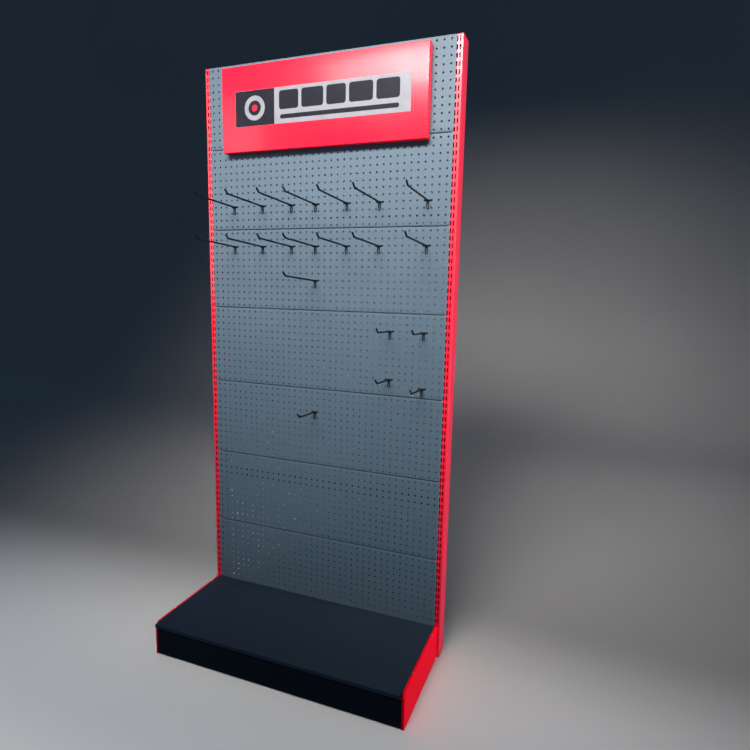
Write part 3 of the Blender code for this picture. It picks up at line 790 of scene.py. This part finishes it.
def make_hooks(prefix, mesh, places):
    """A hook between two columns of holes at each (column, row), counted from the upper left."""
    for number, (column, row) in enumerate(places, start=1):
        name = f"{prefix}_{number:02d}"
        obj = bpy.data.objects.new(f"wire_{name}", mesh)
        bpy.context.scene.collection.objects.link(obj)
        x = HOLE_PITCH * (column + 0.5 - (COLUMNS - 1) / 2)
        obj.location = (x, PANEL_Y + 0.0005, STAND_TOP - HOLE_PITCH * (row + 0.5))
        bpy.context.view_layer.update()
        as_part(obj, f"{name}_body", [name], "black_wire_coat")


# Build

for panel_number in range(1, PANEL_COUNT + 1):
    make_panel(panel_number)
for side_word, side_sign in (("left", -1), ("right", 1)):
    make_upright(side_word)
    make_bracket(side_word, side_sign)
make_sign()
make_shelf()
make_kick_plate()

LONG_PLACES = [(c, r) for r in (20, 26) for c in (3, 8, 13, 17, 22, 27, 34)] + [(17, 31)]
SHORT_PLACES = [(29, 38), (34, 38), (29, 45), (34, 46), (17, 51)]
make_hooks("long_hook", hook_mesh("long_hook_wire", (-0.2220, 0.0123), (-0.2361, 0.0247)), LONG_PLACES)
make_hooks("short_hook", hook_mesh("short_hook_wire", (-0.1210, 0.0030), (-0.1386, 0.0172)), SHORT_PLACES)

# Better finishes and eased edges on the CAD pieces that stay: the finish and the width of the edge

KEPT_PIECES = {
    "cross_rail": (BLACK, 0.0008),
    "upright_cap": (CAP, 0.0007),
    "shelf_stiffener": (BLACK, 0.0005),
    "rail_bolt": (ZINC, 0.0004),
    "bracket_screw": (ZINC, 0.0004),
    "sign_hanger": (ZINC, 0.0003),
    "foot_": (ZINC, 0.0006),
}
for node_name, node in frame["nodes"].items():
    for start, (material, width) in KEPT_PIECES.items():
        if node_name.startswith(start):
            for slot in node.material_slots:
                slot.material = material
            bevel = node.modifiers.new("eased", "BEVEL")
            bevel.width = width
            bevel.segments = 2
            bevel.limit_method = "ANGLE"
            bevel.angle_limit = math.radians(40)

# Stage, light and camera


def backdrop():
    """A pale floor that darkens behind the stand and turns up into a far wall."""
    half_width, near, turn_y, turn_radius, wall_top = 40.0, -40.0, 3.4, 1.6, 9.0
    section = [(near, 0.0), (turn_y, 0.0)]
    section += [(turn_y + out, up) for out, up in arc_steps(turn_radius, 12)[1:]]
    section.append((turn_y + turn_radius, wall_top))
    solid = bmesh.new()
    strips(solid, [(-half_width, y, z) for y, z in section], [(half_width, y, z) for y, z in section])
    bmesh.ops.recalc_face_normals(solid, faces=solid.faces)
    s = Shading("studio_floor")
    split = s.add("ShaderNodeSeparateXYZ")
    s.link(s.place, split.inputs["Vector"])
    fade = s.add("ShaderNodeMapRange", interpolation_type="SMOOTHSTEP")
    fade.inputs["From Min"].default_value = -0.5
    fade.inputs["From Max"].default_value = 0.6
    s.link(split.outputs["Y"], fade.inputs["Value"])
    tone = s.mix(fade.outputs["Result"], (0.86, 0.82, 0.78), (0.175, 0.165, 0.160))
    cloud = s.mix(s.spread(s.noise(0.6), 0.0, 1.0), (1.0, 1.0, 1.0), (0.95, 0.95, 0.95))
    clouded = s.add("ShaderNodeMix", data_type="RGBA", blend_type="MULTIPLY")
    clouded.inputs[0].default_value = 1.0
    s.link(tone, clouded.inputs[6])
    s.link(cloud, clouded.inputs[7])
    s.colour(clouded.outputs[2])
    s.set(Roughness=0.9, Specular_IOR_Level=0.1)
    obj = finish_mesh(solid, "studio_floor", [s.material])
    obj.visible_diffuse = False
    obj.visible_glossy = False
    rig.stage(obj)
    return obj


def area_light(name, place, target, size, power, colour, spread=180.0):
    light = bpy.data.lights.new(name, "AREA")
    light.shape = "RECTANGLE"
    light.size, light.size_y = size
    light.energy = power
    light.color = colour
    light.spread = math.radians(spread)
    obj = bpy.data.objects.new(name, light)
    bpy.context.scene.collection.objects.link(obj)
    obj.location = place
    obj.rotation_mode = "QUATERNION"
    obj.rotation_quaternion = (Vector(target) - Vector(place)).to_track_quat("-Z", "Y")
    obj.visible_camera = False
    return obj


def limit_light(light, obj, state):
    """Makes a light reach one object only (INCLUDE), or all but that one (EXCLUDE)."""
    receivers = bpy.data.collections.new(f"{light.name}_receivers")
    receivers.objects.link(obj)
    receivers.collection_objects[0].light_linking.link_state = state
    light.light_linking.receiver_collection = receivers


def make_world():
    """A blue ambient light, with an even grey where the camera sees past the backdrop."""
    world = bpy.data.worlds.new("studio")
    bpy.context.scene.world = world
    world.use_nodes = True
    nodes, links = world.node_tree.nodes, world.node_tree.links
    ambient = nodes["Background"]
    ambient.inputs["Color"].default_value = (0.33, 0.62, 1.0, 1.0)
    ambient.inputs["Strength"].default_value = 0.180
    surround = nodes.new("ShaderNodeBackground")
    surround.inputs["Color"].default_value = (0.46, 0.46, 0.46, 1.0)
    ray = nodes.new("ShaderNodeLightPath")
    either = nodes.new("ShaderNodeMixShader")
    links.new(ray.outputs["Is Camera Ray"], either.inputs[0])
    links.new(ambient.outputs[0], either.inputs[1])
    links.new(surround.outputs[0], either.inputs[2])
    links.new(either.outputs[0], nodes["World Output"].inputs["Surface"])


def make_camera(place, turn):
    """A camera turned by a rotation vector, whose matrix has the camera's right, down and ahead as rows."""
    data = bpy.data.cameras.new("camera")
    data.sensor_width = 36.0
    data.lens = 27.4
    data.shift_x = 0.0047
    data.shift_y = -0.0024
    camera = bpy.data.objects.new("camera", data)
    bpy.context.scene.collection.objects.link(camera)
    camera.location = place
    right, down, ahead = Matrix.Rotation(turn.length, 3, turn.normalized())
    camera.rotation_mode = "QUATERNION"
    camera.rotation_quaternion = Matrix((right, -down, -ahead)).transposed().to_quaternion()
    bpy.context.scene.camera = camera


floor = backdrop()
area_light("key", (0.3, -2.2, 3.22), (0.2, 0.16, 1.86), (3.0, 0.6), 47.5, (1.0, 0.985, 0.965), spread=62.0)
right_soft = area_light(
    "right_soft", (3.0, 0.14, 1.35), (0.5, 0.14, 1.1), (0.5, 2.2), 78.0, (1.0, 0.975, 0.955)
)
limit_light(right_soft, floor, "EXCLUDE")
floor_light = area_light(
    "floor_light", (0.0, -3.3, 4.0), (0.0, -3.3, 0.0), (9.0, 3.4), 200.0, (1.0, 0.99, 0.97), spread=70.0
)
limit_light(floor_light, floor, "INCLUDE")
area_light(
    "left_soft", (-2.5, -2.2, 2.2), (-0.5, 0.16, 1.9), (0.7, 1.9), 2.0, (1.0, 0.98, 0.97), spread=50.0
)
make_world()
make_camera((0.961, -1.764, 1.393), Vector((1.6994, 0.3377, -0.2610)))
bpy.context.scene.view_settings.view_transform = "Standard"

note_size("built")
